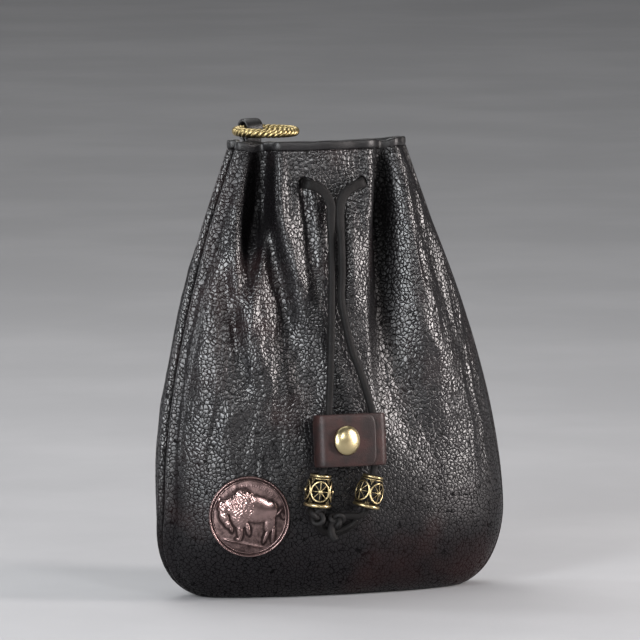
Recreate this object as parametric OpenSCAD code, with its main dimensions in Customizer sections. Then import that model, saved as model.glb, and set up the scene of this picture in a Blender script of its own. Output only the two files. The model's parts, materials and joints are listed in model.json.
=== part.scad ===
// Drawstring dice bag: two turned leather panels, a bound mouth, a drawstring lace with slider and beads.
// Millimetres. X to the bag's right, Y to its back, Z up. The bag stands on Z = 0 at the origin.

/* [Bag body] */
// Height of the bag, to the top of the bound mouth
bag_h = 123; // [90:1:160]
// Width at the widest level
bag_w = 98.8; // [70:0.2:130]
// Depth at the widest level
bag_d = 40; // [28:1:60]
// Width of the gathered neck at the mouth
neck_w = 48; // [36:1:80]
// Depth of the gathered neck at the mouth
neck_d = 20; // [14:1:36]
// Level of the widest part, where the rounded bottom corners begin
belly_z = 22; // [14:1:34]
// Width of the flat patch that the bag stands on
base_w = 71; // [40:1:90]
// Depth of the flat patch that the bag stands on
base_d = 16; // [8:1:28]
// Sideways lean of the neck, to the bag's left
lean = 3.9; // [0:0.1:8]
// Leather thickness
leather = 1.3; // [0.8:0.1:2]

/* [Gathers and seam] */
// Depth of the two gathered valleys at the mouth
valley = 3.5; // [0:0.1:5]
// Half-width of a gathered valley
valley_r = 2.8; // [2:0.1:5]
// Distance from the left valley to the bag's middle, at the mouth
valley_left = 22.4; // [20:0.1:23]
// Distance from the right valley to the bag's middle, at the mouth
valley_right = 13.2; // [11:0.1:15]
// Thickness of the welt strip in the seam
welt_t = 0.8; // [0.4:0.1:1.2]
// Width of the welt strip
welt_w = 4; // [2.5:0.5:6]
// Height of the binding round the mouth
bind_h = 2.3; // [1.5:0.1:4]
// How far the binding stands out from the leather, each side
bind_out = 0.5; // [0.2:0.1:1]

/* [Lace] */
// Lace diameter
lace_d = 2.2; // [1.8:0.1:2.4]
// Radius of the two lace holes
hole_r = 2.1; // [1.6:0.1:3]
// Level of the two lace holes
hole_z = 111.5; // [104:0.5:114]
// Distance from the left lace hole to the bag's middle
hole_left = 11.5; // [9:0.1:14]
// Distance from the right lace hole to the bag's middle
hole_right = 4.9; // [3:0.1:7]

/* [Slider] */
// Slider width
slider_w = 19.6; // [19:0.1:22]
// Slider height
slider_h = 14; // [10:0.5:18]
// Leather thickness of the slider
slider_t = 1.1; // [0.9:0.1:1.3]
// Depth of the slider's channel for the laces
channel_d = 2.9; // [2.8:0.1:3.4]
// Distance from the slider's middle to the end of its flap
flap_end = 6.3; // [5:0.1:8]
// Distance from the slider's middle to its rivet, to the left
rivet_off = 1.8; // [1.4:0.1:2]
// Diameter of the slider's rivet cap
rivet_d = 8; // [6:0.5:9]

/* [Beads] */
// Bead length
bead_l = 9; // [7:0.2:9.2]
// Bead diameter
bead_d = 7.6; // [6.8:0.2:8]
// Radius of the bead's bore
bead_bore_r = 1.65; // [1.5:0.05:2]

/* [Concho] */
// Diameter of the coin concho
coin_d = 21.8; // [18:0.2:24]
// Height of the coin's rim above the leather
coin_h = 1.9; // [1.4:0.1:2.6]

/* [Hanger] */
// Diameter of the ring, to its tube's centre line
ring_d = 15.7; // [12:0.1:18]
// Diameter of the ring's tube
ring_tube = 2.6; // [1.8:0.1:2.6]
// Width of the leather tab
tab_w = 5; // [4:0.5:6]

/* [Show] */
// Which sub-part is shown

/* [Hidden] */
$fn = 48;
black_leather = [0.09, 0.08, 0.09];
brown_leather = [0.20, 0.11, 0.09];
brass = [0.62, 0.50, 0.28];
copper = [0.55, 0.42, 0.40];

top_z = bag_h - bind_h;
seam_y = welt_t / 2;

// The bag's shape: half-width, half-depth and sideways middle at a level
function rise(z) = let(f = max(0, (z - belly_z) / (bag_h - belly_z))) 1.57 * f * f - 0.57 * f * f * f;
function round_in(z) = let(c = 1 - z / belly_z) sqrt(max(0, 1 - c * c));
function half_w(z) = z < belly_z
    ? base_w / 2 + (bag_w - base_w) / 2 * round_in(z)
    : bag_w / 2 - (bag_w - neck_w) / 2 * rise(z);
function half_d(z) = z < belly_z
    ? base_d / 2 + (bag_d - base_d) / 2 * round_in(z)
    : bag_d / 2 - (bag_d - neck_d) / 2 * rise(z);
function mid_x(z) = -lean * pow(min(1, max(0, (z - 20) / 80)), 1.2);
function ease(a, b, v) = let(k = min(1, max(0, (v - a) / (b - a)))) k * k * (3 - 2 * k);
function bump(x, at) = exp(-pow((x - at) / valley_r, 2));
function dip(x, z) = let(spread = 0.1 * (bag_h - z))
    valley * ease(62, 112, z) * (bump(x, -valley_left - spread) + bump(x, valley_right + 0.3 * spread));

// Levels of the rows, from the mouth down, then the flat patch towards the bottom seam
wall_rows = 20;
corner_rows = 6;
levels = concat([for (i = [0 : wall_rows]) top_z + (belly_z - top_z) * i / wall_rows],
                [for (i = [1 : corner_rows]) belly_z * (1 - sin(90 * i / corner_rows))]);
rows = concat([for (z = levels) [max(z, 0), 1]], [[0, 0.5], [0, 0]]);
cols = 32;

// A point of the shell: row r, column c, side -1 front or +1 back, inset towards the inside
function shell_point(r, c, side, inset) =
    let(z = rows[r][0], s = rows[r][1], a = 180 * c / cols)
    let(x = mid_x(z) - (half_w(z) - inset) * cos(a))
    let(y = seam_y + (half_d(z) - inset) * sin(a) * s - (side < 0 ? dip(x, z) * sin(a) : 0))
    [x, side * (abs(sin(a)) * s < 0.0001 ? seam_y : y), max(z, inset)];

// Two triangles of a four-sided face
function quad(a, b, c, d) = [[a, b, c], [a, c, d]];

module panel_shell(side) {
    n = cols + 1;
    m = len(rows);
    outer = [for (r = [0 : m - 1]) for (c = [0 : cols]) shell_point(r, c, side, 0)];
    inner = [for (r = [0 : m - 1]) for (c = [0 : cols]) shell_point(r, c, side, leather)];
    k = n * m;
    skin = [for (r = [0 : m - 2]) for (c = [0 : cols - 1])
            each quad(r * n + c, r * n + c + 1, (r + 1) * n + c + 1, (r + 1) * n + c)];
    lining = [for (f = skin) [f[0] + k, f[2] + k, f[1] + k]];
    mouth = [for (c = [0 : cols - 1]) each quad(c, c + k, c + 1 + k, c + 1)];
    foot_at = (m - 1) * n;
    foot = [for (c = [0 : cols - 1])
            each quad(foot_at + c, foot_at + c + 1, foot_at + c + 1 + k, foot_at + c + k)];
    left = [for (r = [0 : m - 2])
            each quad(r * n, (r + 1) * n, (r + 1) * n + k, r * n + k)];
    right = [for (r = [0 : m - 2])
            let(i = r * n + cols, j = (r + 1) * n + cols)
            each quad(i, i + k, j + k, j)];
    all = concat(skin, lining, mouth, foot, left, right);
    polyhedron(points = concat(outer, inner), faces = side < 0 ? all : [for (f = all) [f[0], f[2], f[1]]]);
}

// Tube swept along a route
function unit(v) = v / norm(v);
function tangents(p) = [for (i = [0 : len(p) - 1]) unit(p[min(i + 1, len(p) - 1)] - p[max(i - 1, 0)])];
function sides(t, i = 0, last = [0, 0, 0], out = []) =
    i == len(t) ? out :
    let(start = abs(t[0][0]) < 0.7 ? [1, 0, 0] : [0, 1, 0])
    let(s = unit(i == 0 ? cross(t[0], start) : last - (last * t[i]) * t[i]))
    sides(t, i + 1, s, concat(out, [s]));

module tube(route, d, around = 8) {
    t = tangents(route);
    s = sides(t);
    count = len(route);
    points = [for (i = [0 : count - 1]) for (j = [0 : around - 1])
              let(a = 360 * j / around)
              route[i] + d / 2 * (cos(a) * s[i] + sin(a) * cross(t[i], s[i]))];
    wall = [for (i = [0 : count - 2]) for (j = [0 : around - 1])
            let(j2 = (j + 1) % around)
            each quad(i * around + j, (i + 1) * around + j, (i + 1) * around + j2, i * around + j2)];
    first = [[for (j = [0 : around - 1]) j]];
    last = [[for (j = [around - 1 : -1 : 0]) (count - 1) * around + j]];
    polyhedron(points = points, faces = concat(wall, first, last));
}

// Route of the lace: left tail, up through bead and slider, in at the left hole, round the neck,
// out at the right hole and down again
lace_route = [
    [-0.6, -22.5, 22], [-2, -22.4, 20.6], [-4.6, -22.3, 19.4], [-7.5, -22.2, 18.8],
    [-10.3, -22.6, 19.7], [-12, -23.8, 21.6], [-12.6, -24.7, 24], [-12.6, -24.8, 26.2],
    [-12.1, -24.8, 30.6], [-11.3, -24.7, 35], [-10.5, -24.4, 36.6], [-9.9, -23.7, 43],
    [-8.7, -23.05, 49.8], [-7.2, -20.9, 71], [-6.6, -19.5, 80], [-5.9, -17.9, 88],
    [-5.5, -16.5, 96], [-5.3, -15.6, 102.5], [-5.2, -15.1, 106], [-6.4, -14.6, 109],
    [-8.7, -14.2, 111], [-11.2, -13.6, 111.8], [-11.5, -10.8, 111.9], [-12.4, -7.8, 112.1],
    [-15.8, -4.2, 112.5], [-21, -2.2, 113.2], [-25.2, 1, 113.8], [-21.5, 5.2, 114.2],
    [-12, 7.8, 114.4], [-2, 8.4, 114.4], [8, 7.4, 114.3], [14.3, 4.6, 114], [17.2, 1, 113.6],
    [13.6, -2.2, 113], [8.6, -5, 112.5], [5.4, -7.8, 112.1], [4.9, -10.8, 111.9],
    [4.6, -13.7, 111.8], [1.9, -14.2, 111], [-0.8, -14.6, 109.2], [-2.4, -15.1, 106],
    [-2.8, -15.8, 102.5], [-3.1, -17.7, 96], [-3.3, -18.8, 88], [-3.8, -20, 80], [-1.5, -21.2, 68],
    [1, -21.9, 61], [4, -23.05, 49.8], [4.3, -23.7, 43], [3.9, -24.3, 36.6], [3.4, -24.8, 34.2],
    [2.3, -24.8, 29.8], [1.25, -24.8, 25.6], [0.6, -24.9, 24.1], [-1, -25, 23.3], [-3, -25, 23.5],
    [-5, -24.8, 23.3], [-6.9, -24.5, 22.4], [-8.4, -24.9, 20.9], [-8.8, -25.6, 19],
    [-7.9, -26.2, 17.2]];
bead_left_at = [-12.1, -24.8, 30.6];
bead_left_lean = 7;
bead_right_at = [2.3, -24.8, 29.8];
bead_right_lean = 14;
knot_left_at = [-12.6, -24.75, 24];
knot_right_at = [-6.9, -24.5, 22.4];

module front_panel() {
    color(black_leather) difference() {
        panel_shell(-1);
        translate([-hole_left, -5, hole_z + 0.3]) rotate([90, 0, 0]) cylinder(r = hole_r, h = 12);
        translate([hole_right, -5, hole_z + 0.3]) rotate([90, 0, 0]) cylinder(r = hole_r, h = 12);
        at_coin() translate([0, 0, -4]) cylinder(r = 1.7, h = 8);
    }
}

module back_panel() {
    color(black_leather) difference() {
        panel_shell(1);
        at_hanger_rivet() translate([0, 0, -8]) cylinder(r = 1.5, h = 12);
    }
}

// Strip sewn into the seam, round both sides and the bottom
module seam_welt() {
    under = [for (z = levels) max(z, 0)];
    lift = [for (z = under) z < belly_z ? z + welt_w * (1 - z / belly_z) : z];
    last = len(under) - 1;
    outline = concat(
        [for (i = [0 : last]) [mid_x(under[i]) - half_w(under[i]), under[i]]],
        [for (i = [last : -1 : 0]) [mid_x(under[i]) + half_w(under[i]), under[i]]],
        [for (i = [0 : last]) [mid_x(under[i]) + half_w(under[i]) - welt_w, lift[i]]],
        [for (i = [last : -1 : 0]) [mid_x(under[i]) - half_w(under[i]) + welt_w, lift[i]]]);
    color(black_leather) translate([0, seam_y, 0]) rotate([90, 0, 0]) linear_extrude(welt_t)
        polygon(outline);
}

// Leather band bound over the mouth's edge
function mouth_path(inset) = concat(
    [for (c = [0 : cols]) let(p = shell_point(0, c, -1, inset)) [p[0], p[1]]],
    [for (c = [cols : -1 : 0]) let(p = shell_point(0, c, 1, inset)) [p[0], p[1]]]);

module rim_binding() {
    color(black_leather) translate([0, 0, top_z]) linear_extrude(bind_h) difference() {
        offset(delta = bind_out) polygon(mouth_path(0));
        offset(delta = -bind_out) polygon(mouth_path(leather));
    }
}

module drawcord() {
    color(black_leather) tube(lace_route, lace_d);
}

// A turn of lace knotted round another
module knot() {
    rotate_extrude() translate([lace_d + 0.05, 0]) circle(d = lace_d - 0.3);
}

module knot_left() {
    color(black_leather) translate(knot_left_at) rotate([0, 7, 0]) knot();
}

module knot_right() {
    color(black_leather) translate(knot_right_at) rotate([0, 55, 0]) knot();
}

// Slider: strap wrapped round both laces, held by one rivet between them
slider_at = [-3, -21.12, 43.5];
slider_tilt = 5.7;
slider_body_d = 2 * slider_t + channel_d;
flap_w = slider_w / 2 - 0.5 + flap_end;

module at_slider() {
    translate(slider_at) rotate([-slider_tilt, 0, 0]) children();
}

module rounded(w, d, r) {
    hull() for (x = [-1, 1]) for (y = [-1, 1]) translate([x * (w / 2 - r), y * (d / 2 - r)]) circle(r = r);
}

module slider_strap() {
    color(brown_leather) at_slider() difference() {
        union() {
            translate([0, -slider_body_d / 2, -slider_h / 2]) linear_extrude(slider_h) difference() {
                rounded(slider_w, slider_body_d, 2.2);
                rounded(slider_w - 2 * slider_t, channel_d, 1);
            }
            translate([flap_end - flap_w / 2, -slider_body_d, 0]) rotate([90, 0, 0])
                linear_extrude(slider_t) {
                    rounded(flap_w, slider_h, 2.5);
                    translate([-flap_w / 2, -slider_h / 2]) square([6, slider_h]);
                }
            translate([-slider_w / 2 + 1, -slider_body_d - slider_t, -slider_h / 2])
                cube([2, 1.9, slider_h]);
        }
        translate([-rivet_off, 0, 0]) rotate([90, 0, 0]) translate([0, 0, -1]) cylinder(r = 1.35, h = 12);
    }
}

module slider_rivet_cap() {
    color(brass) at_slider() translate([-rivet_off, -slider_body_d - slider_t, 0]) rotate([90, 0, 0])
        rotate_extrude() polygon([[0, 0], [rivet_d / 2 - 0.3, 0], [rivet_d / 2, 0.3],
                                  [rivet_d / 2 - 0.4, 0.7], [2.4, 1.1], [1.2, 1.28], [0, 1.32]]);
}

module slider_rivet_post() {
    color(brass) at_slider() translate([-rivet_off, 0, 0]) rotate([90, 0, 0]) rotate_extrude()
        polygon([[0, -0.6], [2.9, -0.6], [3.2, -0.4], [3.2, 0], [1.3, 0],
                 [1.3, slider_body_d + slider_t], [0, slider_body_d + slider_t]]);
}

// Barrel bead with four spoked wheels round it
module bead() {
    r = bead_d / 2;
    h = bead_l / 2;
    difference() {
        rotate_extrude() polygon([[bead_bore_r, -h], [r - 0.7, -h], [r - 0.4, -h + 0.3],
                                  [r - 0.6, -h + 0.8], [r - 0.8, -h + 1.1], [r - 0.2, -1.8], [r, 0],
                                  [r - 0.2, 1.8], [r - 0.8, h - 1.1], [r - 0.9, h - 0.8],
                                  [r - 0.8, h - 0.3], [r - 1.1, h], [bead_bore_r, h]]);
        for (a = [0 : 90 : 270]) rotate([0, 0, a]) rotate([90, 0, 0]) difference() {
            translate([0, 0, r - 0.9]) cylinder(r = 2.1, h = 2);
            cylinder(r = 0.55, h = 6);
            for (b = [0 : 45 : 135]) rotate([0, 0, b]) translate([-3, -0.22, 0]) cube([6, 0.44, 6]);
        }
    }
}

module bead_left() {
    color(brass) translate(bead_left_at) rotate([0, bead_left_lean, 0]) rotate([0, 0, -20]) bead();
}

module bead_right() {
    color(brass) translate(bead_right_at) rotate([0, bead_right_lean, 0]) rotate([0, 0, 25]) bead();
}

// Concho: coin cap screwed through the front panel, low on the left
coin_turn = 16.4;
module at_coin() {
    translate([-29, -16.6, 23.5]) rotate([0, 0, -coin_turn]) rotate([90, 0, 0]) children();
}

module beast() {
    polygon([[-6.6, -1.6], [-5.6, -2.6], [-4.8, -3.6], [-4, -2.4], [-3.6, -5.2], [-2.6, -5.2],
             [-2.2, -2.4], [0.5, -2], [3, -1.6], [3.4, -3.4], [3, -5.2], [4.1, -5.2], [4.8, -3.2],
             [5.6, -1], [5.9, 1], [4.8, 2.6], [2.5, 3.1], [0, 3.9], [-2.2, 5.2], [-3.8, 5],
             [-5.2, 3.4], [-6.6, 1.4], [-6.9, 0]]);
    translate([-5.5, -5.9]) square([11, 0.4]);
}

module concho_cap() {
    r = coin_d / 2;
    color(copper) at_coin() difference() {
        union() {
            rotate_extrude() polygon([[0, 0.2], [r, 0.2], [r, coin_h - 0.3], [r - 0.3, coin_h],
                                      [r - 0.8, coin_h], [r - 1.1, coin_h - 0.4], [6, coin_h - 0.1],
                                      [0, coin_h + 0.1]]);
            translate([0, 0, 1]) linear_extrude(coin_h - 0.5) beast();
        }
        cylinder(r = 1.5, h = 1.3);
    }
}

module concho_screw() {
    color(brass) at_coin() rotate_extrude()
        polygon([[0, -2.9], [4, -2.9], [4.5, -2.5], [4.5, -1.7], [1.47, -1.7], [1.47, 1.2],
                 [0, 1.2]]);
}

// Hanger: ring held by a folded tab on the back, at the left of the mouth
hinge_at = [-18.6, 11.6, 124.9];
hanger_turn = 12.5;
module at_hanger() {
    translate([hinge_at[0], hinge_at[1], 0]) rotate([0, 0, hanger_turn]) children();
}

module at_hanger_rivet() {
    at_hanger() translate([0, 2.45, 107]) rotate([9.4, 0, 0]) rotate([-90, 0, 0]) children();
}

module hanger_tab() {
    color(black_leather) difference() {
        at_hanger() translate([-tab_w / 2, 0, 0]) rotate([90, 0, 90]) linear_extrude(tab_w)
            difference() {
                union() {
                    translate([0, hinge_at[2]]) circle(r = 3);
                    polygon([[-2.1, 122.8], [-2.1, 120.5], [0.75, 103.5], [0.9, 101.5],
                             [3.2, 101.5], [3.05, 103.5], [0.4, 119.6], [1.6, 122.8]]);
                }
                translate([0, hinge_at[2]]) circle(r = 2);
            }
        at_hanger_rivet() translate([0, 0, -4]) cylinder(r = 1.35, h = 8);
    }
}

module hanger_rivet() {
    color(brass) at_hanger_rivet() rotate_extrude()
        polygon([[0, -5.7], [2.1, -5.7], [2.4, -5.4], [2.4, -4.9], [1.3, -4.9], [1.3, 0.1],
                 [2.3, 0.1], [2.4, 0.4], [1.6, 0.9], [0, 1.1]]);
}

module hanger_ring() {
    color(brass) at_hanger() translate([0, -ring_d / 2, hinge_at[2]])
        rotate_extrude() translate([ring_d / 2, 0]) circle(d = ring_tube);
}

front_panel();
back_panel();
seam_welt();
rim_binding();
drawcord();
knot_left();
knot_right();
slider_strap();
slider_rivet_cap();
slider_rivet_post();
bead_left();
bead_right();
concho_cap();
concho_screw();
hanger_tab();
hanger_rivet();
hanger_ring();
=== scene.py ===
"""Looks of the drawstring dice bag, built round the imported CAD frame."""

import json
import math

import bpy
import numpy as np
from mathutils import Matrix, Vector


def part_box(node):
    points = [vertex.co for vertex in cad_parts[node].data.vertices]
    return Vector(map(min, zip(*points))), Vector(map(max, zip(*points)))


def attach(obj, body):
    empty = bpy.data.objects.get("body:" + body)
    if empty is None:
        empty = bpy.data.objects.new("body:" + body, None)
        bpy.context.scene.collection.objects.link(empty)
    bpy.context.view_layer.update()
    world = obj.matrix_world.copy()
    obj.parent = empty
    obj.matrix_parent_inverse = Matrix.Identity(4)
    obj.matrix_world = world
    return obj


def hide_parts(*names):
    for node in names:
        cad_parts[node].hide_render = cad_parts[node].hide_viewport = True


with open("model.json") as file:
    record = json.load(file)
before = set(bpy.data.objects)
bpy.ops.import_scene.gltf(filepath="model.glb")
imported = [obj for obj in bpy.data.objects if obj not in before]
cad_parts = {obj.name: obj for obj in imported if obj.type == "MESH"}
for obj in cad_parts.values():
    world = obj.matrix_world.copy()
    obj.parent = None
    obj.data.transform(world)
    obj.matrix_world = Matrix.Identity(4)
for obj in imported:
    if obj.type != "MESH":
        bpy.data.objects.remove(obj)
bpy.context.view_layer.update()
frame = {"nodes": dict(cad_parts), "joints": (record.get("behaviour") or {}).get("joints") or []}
MM = 0.001

# ---------------------------------------------------------------- the bag's shape, in millimetres
BAG_W, BAG_D = 98.8, 40.0
NECK_W, NECK_D = 48.0, 20.0
BASE_W, BASE_D = 71.0, 16.0
BELLY_Z = 22.0
BIND_H = 2.3
BAG_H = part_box("rim_binding")[1][2] / MM
TOP_Z = BAG_H - BIND_H
LEAN = 3.9
LEATHER = 1.3
SEAM_Y = 0.4
JOINTS = {j["name"]: j for j in frame["joints"]}


def middle(node):
    """Middle of a CAD node's box, in millimetres."""
    low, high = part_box(node)
    return (Vector(low) + Vector(high)) / 2 / MM


# Slider: its slide runs along the laces, and its rivet is left of its middle
RIVET_OFF = 1.8
SLIDER_TILT = math.degrees(math.atan2(JOINTS["slider_slide"]["axis"][1], JOINTS["slider_slide"]["axis"][2]))
CAP_OUT = Matrix.Rotation(math.radians(-SLIDER_TILT), 3, "X") @ Vector((-RIVET_OFF, -6.86, 0))
SLIDER_AT = middle("slider_rivet_cap") - CAP_OUT
COIN_TURN = 16.4
COIN_AT = middle("concho_cap") + 1.05 * Vector((math.sin(math.radians(COIN_TURN)), math.cos(math.radians(COIN_TURN)), 0))
HINGE_AT = Vector(JOINTS["ring_swing"]["pos_m"]) / MM
HANGER_TURN = math.degrees(math.atan2(-JOINTS["ring_swing"]["axis"][1], -JOINTS["ring_swing"]["axis"][0]))
BEAD_TURNS = {"bead_left": -14, "bead_right": 25}

# The lace's route, as the CAD tube has it: left tail, bead, slider, left hole, round the neck, right hole and down
LACE_ROUTE = [
    (-0.6, -22.5, 22), (-2, -22.4, 20.6), (-4.6, -22.3, 19.4), (-7.5, -22.2, 18.8), (-10.3, -22.6, 19.7),
    (-12, -23.8, 21.6), (-12.6, -24.7, 24), (-12.6, -24.8, 26.2), (-12.1, -24.8, 30.6), (-11.3, -24.7, 35),
    (-10.5, -24.4, 36.6), (-9.9, -23.7, 43), (-8.7, -23.05, 49.8), (-7.2, -20.9, 71), (-6.6, -19.5, 80),
    (-5.9, -17.9, 88), (-5.5, -16.5, 96), (-5.3, -15.6, 102.5), (-5.2, -15.1, 106), (-6.4, -14.6, 109),
    (-8.7, -14.2, 111), (-11.2, -13.6, 111.8), (-11.5, -10.8, 111.9), (-12.4, -7.8, 112.1), (-15.8, -4.2, 112.5),
    (-21, -2.2, 113.2), (-25.2, 1, 113.8), (-21.5, 5.2, 114.2), (-12, 7.8, 114.4), (-2, 8.4, 114.4),
    (8, 7.4, 114.3), (14.3, 4.6, 114), (17.2, 1, 113.6), (13.6, -2.2, 113), (8.6, -5, 112.5), (5.4, -7.8, 112.1),
    (4.9, -10.8, 111.9), (4.6, -13.7, 111.8), (1.9, -14.2, 111), (-0.8, -14.6, 109.2), (-2.4, -15.1, 106),
    (-2.8, -15.8, 102.5), (-3.1, -17.7, 96), (-3.3, -18.8, 88), (-3.8, -20, 80), (-1.5, -21.2, 68), (1, -21.9, 61),
    (4, -23.05, 49.8), (4.3, -23.7, 43), (3.9, -24.3, 36.6), (3.4, -24.8, 34.2), (2.3, -24.8, 29.8),
    (1.25, -24.8, 25.6), (0.6, -24.9, 24.1), (-1, -25, 23.3), (-3, -25, 23.5), (-5, -24.8, 23.3), (-6.9, -24.5, 22.4),
    (-8.4, -24.9, 20.9), (-8.8, -25.6, 19), (-7.9, -26.2, 17.2)]
LEFT_HOLE, RIGHT_HOLE = (i for i, p in enumerate(LACE_ROUTE) if p[1] == -10.8)
LACE_W, LACE_T = 2.2, 1.6


# ---------------------------------------------------------------- small tools
def curve_through(points, per_span):
    """A smooth line through the points."""
    p = np.array(points, float)
    p = np.vstack([2 * p[0] - p[1], p, 2 * p[-1] - p[-2]])
    out = []
    for i in range(1, len(p) - 2):
        a, b, c, d = p[i - 1 : i + 3]
        for t in np.arange(per_span) / per_span:
            out.append(0.5 * (2 * b + (c - a) * t + (2 * a - 5 * b + 4 * c - d) * t**2 + (3 * b - a - 3 * c + d) * t**3))
    return np.array(out + [p[-2]])


def make(name, points, faces, body, material, replaced=(), smooth=True):
    """A mesh piece from points in millimetres, riding on a body."""
    mesh = bpy.data.meshes.new(name)
    mesh.from_pydata((np.asarray(points, float) * MM).tolist(), [], [list(map(int, f)) for f in faces])
    mesh.validate()
    mesh.update()
    if smooth:
        mesh.polygons.foreach_set("use_smooth", [True] * len(mesh.polygons))
    piece = bpy.data.objects.new(name, mesh)
    bpy.context.scene.collection.objects.link(piece)
    for one in material if isinstance(material, (list, tuple)) else [material]:
        mesh.materials.append(one)
    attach(piece, body)
    if replaced:
        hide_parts(*replaced)
    return piece


def attribute(piece, name, values):
    """Stores one number per vertex for the material."""
    layer = piece.data.attributes.new(name, "FLOAT", "POINT")
    layer.data.foreach_set("value", np.asarray(values, np.float32))


def placed(points, at, turns):
    """Points turned by (axis, degrees) in order and moved to a place."""
    m = Matrix.Identity(3)
    for axis, degrees in turns:
        m = Matrix.Rotation(math.radians(degrees), 3, axis) @ m
    return np.asarray(points, float) @ np.array(m).T + np.array(at, float)


def grid_faces(rows, cols, closed=False, flip=False, start=0):
    """Quads of a grid of points, row by row; closed joins the last column to the first."""
    r, c = np.meshgrid(np.arange(rows - 1), np.arange(cols if closed else cols - 1), indexing="ij")
    c2 = (c + 1) % cols
    quads = np.stack([r * cols + c, r * cols + c2, (r + 1) * cols + c2, (r + 1) * cols + c], axis=-1).reshape(-1, 4)
    return (quads[:, ::-1] if flip else quads) + start


def sweep(path, profile, closed=False, up=(0, 0, 1), ends=True):
    """A closed profile [(side, normal)] swept along a path, with frames kept close to the up vector's."""
    path = np.asarray(path, float)
    n = len(path)
    ahead = np.roll(path, -1, 0) - np.roll(path, 1, 0)
    if not closed:
        ahead[0], ahead[-1] = path[1] - path[0], path[-1] - path[-2]
    ahead /= np.linalg.norm(ahead, axis=1)[:, None]
    side = np.cross(ahead, np.array(up, float))
    side /= np.linalg.norm(side, axis=1)[:, None]
    normal = np.cross(side, ahead)
    prof = np.asarray(profile, float)
    if prof.ndim == 2:
        prof = np.repeat(prof[None], n, axis=0)
    pts = path[:, None] + prof[..., :1] * side[:, None] + prof[..., 1:2] * normal[:, None]
    k = prof.shape[1]
    pts = pts.reshape(-1, 3)
    if closed:
        faces = grid_faces(n + 1, k, closed=True) % (n * k)
        return pts, [list(f) for f in faces]
    faces = [list(f) for f in grid_faces(n, k, closed=True)]
    if ends:
        faces += [list(range(k))[::-1], [(n - 1) * k + i for i in range(k)]]
    return pts, faces


def follow(path, profile, ends=True):
    """A closed outline for each point of a path, swept along it with frames carried without twist."""
    path = np.asarray(path, float)
    ahead = np.gradient(path, axis=0)
    ahead /= np.linalg.norm(ahead, axis=1)[:, None]
    side = np.cross(ahead[0], (0, 1, 0))
    side /= np.linalg.norm(side)
    rings = []
    for place, t, outline in zip(path, ahead, profile):
        side = side - side.dot(t) * t
        side /= np.linalg.norm(side)
        normal = np.cross(t, side)
        rings.append([place + a * side + b * normal for a, b in outline])
    k = len(profile[0])
    faces = [list(f)[::-1] for f in grid_faces(len(path), k, closed=True)]
    if ends:
        faces += [list(range(k)), [(len(path) - 1) * k + i for i in range(k)][::-1]]
    return np.array(rings).reshape(-1, 3), faces


def round_profile(width, thick, count=16, power=2.6):
    """A rounded flat profile, as a leather lace or a wire has."""
    a = np.arange(count) * 2 * np.pi / count
    c, s = np.cos(a), np.sin(a)
    return np.stack([np.sign(c) * np.abs(c) ** (2 / power) * width / 2, np.sign(s) * np.abs(s) ** (2 / power) * thick / 2], 1)


def lathe(profile, count=64):
    """A profile [(radius, height)] turned round Z; a first or last point on the axis closes it."""
    profile = list(profile)
    pts, faces, rings = [], [], []
    for r, h in profile:
        if r < 1e-6:
            rings.append([len(pts)])
            pts.append((0, 0, h))
        else:
            rings.append(list(range(len(pts), len(pts) + count)))
            pts += [(r * math.cos(2 * math.pi * i / count), r * math.sin(2 * math.pi * i / count), h) for i in range(count)]
    for a, b in zip(rings, rings[1:]):
        for i in range(count):
            j = (i + 1) % count
            if len(a) == 1:
                faces.append([a[0], b[j], b[i]])
            elif len(b) == 1:
                faces.append([a[i], a[j], b[0]])
            else:
                faces.append([a[i], a[j], b[j], b[i]])
    return np.array(pts, float), faces


def joined(parts):
    """Several (points, faces) as one."""
    pts, faces, at = [], [], 0
    for p, f in parts:
        pts.append(np.asarray(p, float))
        faces += [[i + at for i in one] for one in f]
        at += len(p)
    return np.vstack(pts), faces


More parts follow.
